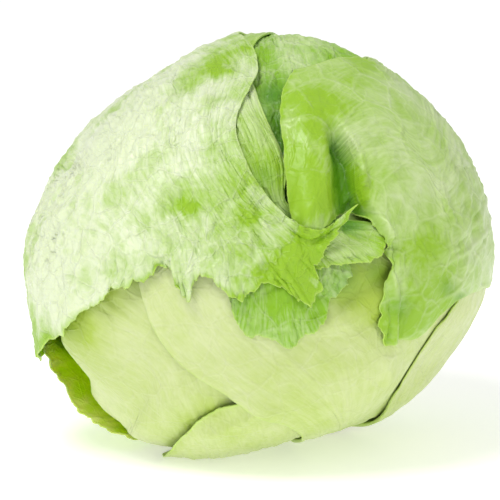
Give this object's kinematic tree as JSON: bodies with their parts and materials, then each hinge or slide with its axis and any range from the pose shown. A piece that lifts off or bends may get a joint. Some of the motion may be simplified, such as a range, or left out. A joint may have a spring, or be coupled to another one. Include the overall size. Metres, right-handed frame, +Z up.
{
  "type": "iceberg lettuce",
  "caption": "Head of iceberg lettuce, cut and trimmed: a dense round heart on a short stem, wrapped in broad waxy leaves with waved and torn margins.",
  "frame": {"origin": "middle of the bounding box in plan, on the surface that the head rests on", "axes": "+Z up, -Y towards the front, where the two outer leaves meet, +X to the right as seen from the front"},
  "size_m": [0.1667, 0.1659, 0.1487],
  "materials": {
    "pale_leaf": "waxy, half gloss, pale green",
    "green_leaf": "waxy, half gloss, bright green",
    "inner_leaf": "moist leaf, deep green where it is in shade",
    "cut_stem": "matte cut stem, pale cream"
  },
  "bodies": {
    "root": {"heart_leaves": "inner_leaf", "stem_butt": "cut_stem", "left_leaf": "pale_leaf", "edge_leaf": "green_leaf", "bottom_leaf": "pale_leaf", "front_leaf": "pale_leaf", "right_leaf": "pale_leaf", "crown_leaf": "green_leaf", "inner_hood_leaf": "green_leaf", "right_hood": "green_leaf", "left_hood": "pale_leaf", "back_leaf": "pale_leaf"}
  },
  "joints": []
}
